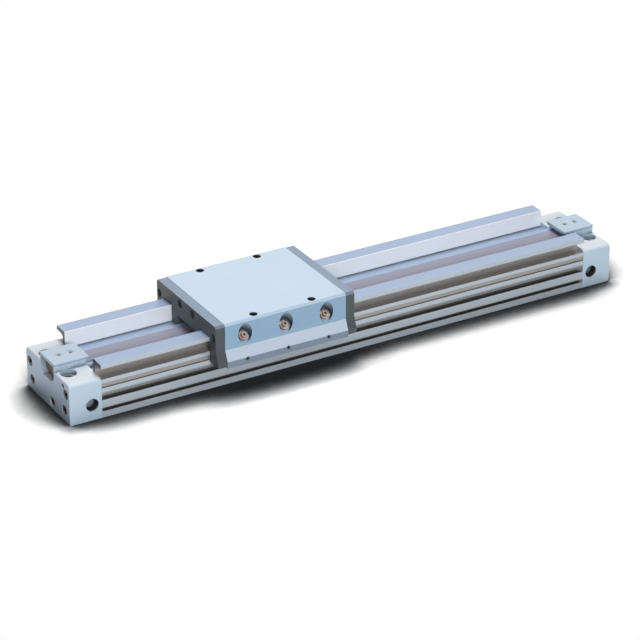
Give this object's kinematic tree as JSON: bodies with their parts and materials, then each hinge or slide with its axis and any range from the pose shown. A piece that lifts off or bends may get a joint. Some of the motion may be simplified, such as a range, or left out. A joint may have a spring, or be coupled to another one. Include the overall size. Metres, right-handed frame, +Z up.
{
  "type": "rodless cylinder",
  "caption": "Air cylinder without a rod: a slide table on a grooved tube is pulled by an inner piston through a belt-sealed slit, between drilled end covers with air ports.",
  "frame": {"origin": "Middle of the bounding box in X and Y, on the underside of the tube and end covers (Z = 0)", "axes": "X along the tube and the stroke, Y across with the air ports and adjusting screws on -Y, Z up through the table"},
  "size_m": [0.4524, 0.097, 0.053],
  "materials": {
    "tube_aluminium": "clear anodised extrusion, satin",
    "cover_aluminium": "machined and clear anodised, satin",
    "table_aluminium": "machined and clear anodised, fine satin",
    "bolt_steel": "zinc plated steel, slightly dull",
    "brass_fittings": "yellow passivated, dull brass",
    "belt_polymer": "thin flexible belt, greyish, satin",
    "plate_resin": "dark grey moulded resin",
    "bearing_resin": "natural low-friction resin",
    "seal_rubber": "black nitrile rubber",
    "magnet_ferrite": "dark ferrite"
  },
  "bodies": {
    "cylinder": {"belt_clamp_left": "brass_fittings", "belt_clamp_right": "brass_fittings", "clamp_bar_left": "brass_fittings", "clamp_bar_right": "brass_fittings", "clamp_cap_left": "cover_aluminium", "clamp_cap_right": "cover_aluminium", "clamp_cap_screws": "bolt_steel", "cover_bolts_left": "bolt_steel", "cover_bolts_right": "bolt_steel", "cushion_boss_left": "bearing_resin", "cushion_boss_right": "bearing_resin", "cylinder_tube": "tube_aluminium", "end_cover_left": "cover_aluminium", "end_cover_right": "cover_aluminium", "inner_seal_belt": "belt_polymer", "outer_dust_belt": "belt_polymer", "port_plug_left": "brass_fittings", "port_plug_right": "brass_fittings", "tube_gasket_left": "seal_rubber", "tube_gasket_right": "seal_rubber"},
    "carriage": {"adjusting_arm": "table_aluminium", "adjusting_screws": "bolt_steel", "bearing_adjustable": "bearing_resin", "bearing_fixed": "bearing_resin", "belt_guide_block_left": "bearing_resin", "belt_guide_block_right": "bearing_resin", "belt_separator_left": "bearing_resin", "belt_separator_right": "bearing_resin", "coupler": "bolt_steel", "coupler_pins": "bolt_steel", "cushion_seal_left": "seal_rubber", "cushion_seal_right": "seal_rubber", "end_plate_screws": "brass_fittings", "lock_nuts": "bolt_steel", "lock_set_screws": "bolt_steel", "magnet_left": "magnet_ferrite", "magnet_right": "magnet_ferrite", "piston_left": "table_aluminium", "piston_right": "table_aluminium", "piston_seal_left": "seal_rubber", "piston_seal_right": "seal_rubber", "piston_yoke": "table_aluminium", "roller_shaft_left": "bolt_steel", "roller_shaft_right": "bolt_steel", "scraper_left": "seal_rubber", "scraper_right": "seal_rubber", "slide_table": "table_aluminium", "table_end_plate_left": "plate_resin", "table_end_plate_right": "plate_resin", "top_bearing_far": "bearing_resin", "top_bearing_near": "bearing_resin", "wear_ring_left": "bearing_resin", "wear_ring_right": "bearing_resin"},
    "roller_left": {"guide_roller_left": "bearing_resin"},
    "roller_right": {"guide_roller_right": "bearing_resin"},
    "needle_left": {"cushion_needle_left": "brass_fittings"},
    "needle_right": {"cushion_needle_right": "brass_fittings"}
  },
  "joints": [
    {"name": "carriage_slide", "type": "slide", "parent": "cylinder", "child": "carriage", "axis": [1, 0, 0], "range_m": [-0.06425, 0.18575], "deforming": ["outer_dust_belt", "inner_seal_belt"]},
    {"name": "roller_left_turn", "type": "hinge", "parent": "carriage", "child": "roller_left", "pos_m": [-0.10575, 0, 0.03505], "axis": [0, 1, 0], "range_deg": [-925, 2670]},
    {"name": "roller_right_turn", "type": "hinge", "parent": "carriage", "child": "roller_right", "pos_m": [-0.01575, 0, 0.03505], "axis": [0, 1, 0], "range_deg": [-925, 2670]},
    {"name": "needle_left_turn", "type": "hinge", "parent": "cylinder", "child": "needle_left", "pos_m": [-0.22525, -0.0252, 0.0272], "axis": [-1, 0, 0], "range_deg": [0, 1080]},
    {"name": "needle_right_turn", "type": "hinge", "parent": "cylinder", "child": "needle_right", "pos_m": [0.22525, -0.0252, 0.0272], "axis": [1, 0, 0], "range_deg": [0, 1080]}
  ],
  "couplings": [
    {"joint": "roller_left_turn", "follows": "carriage_slide", "rad_per_m": 250},
    {"joint": "roller_right_turn", "follows": "carriage_slide", "rad_per_m": 250}
  ]
}
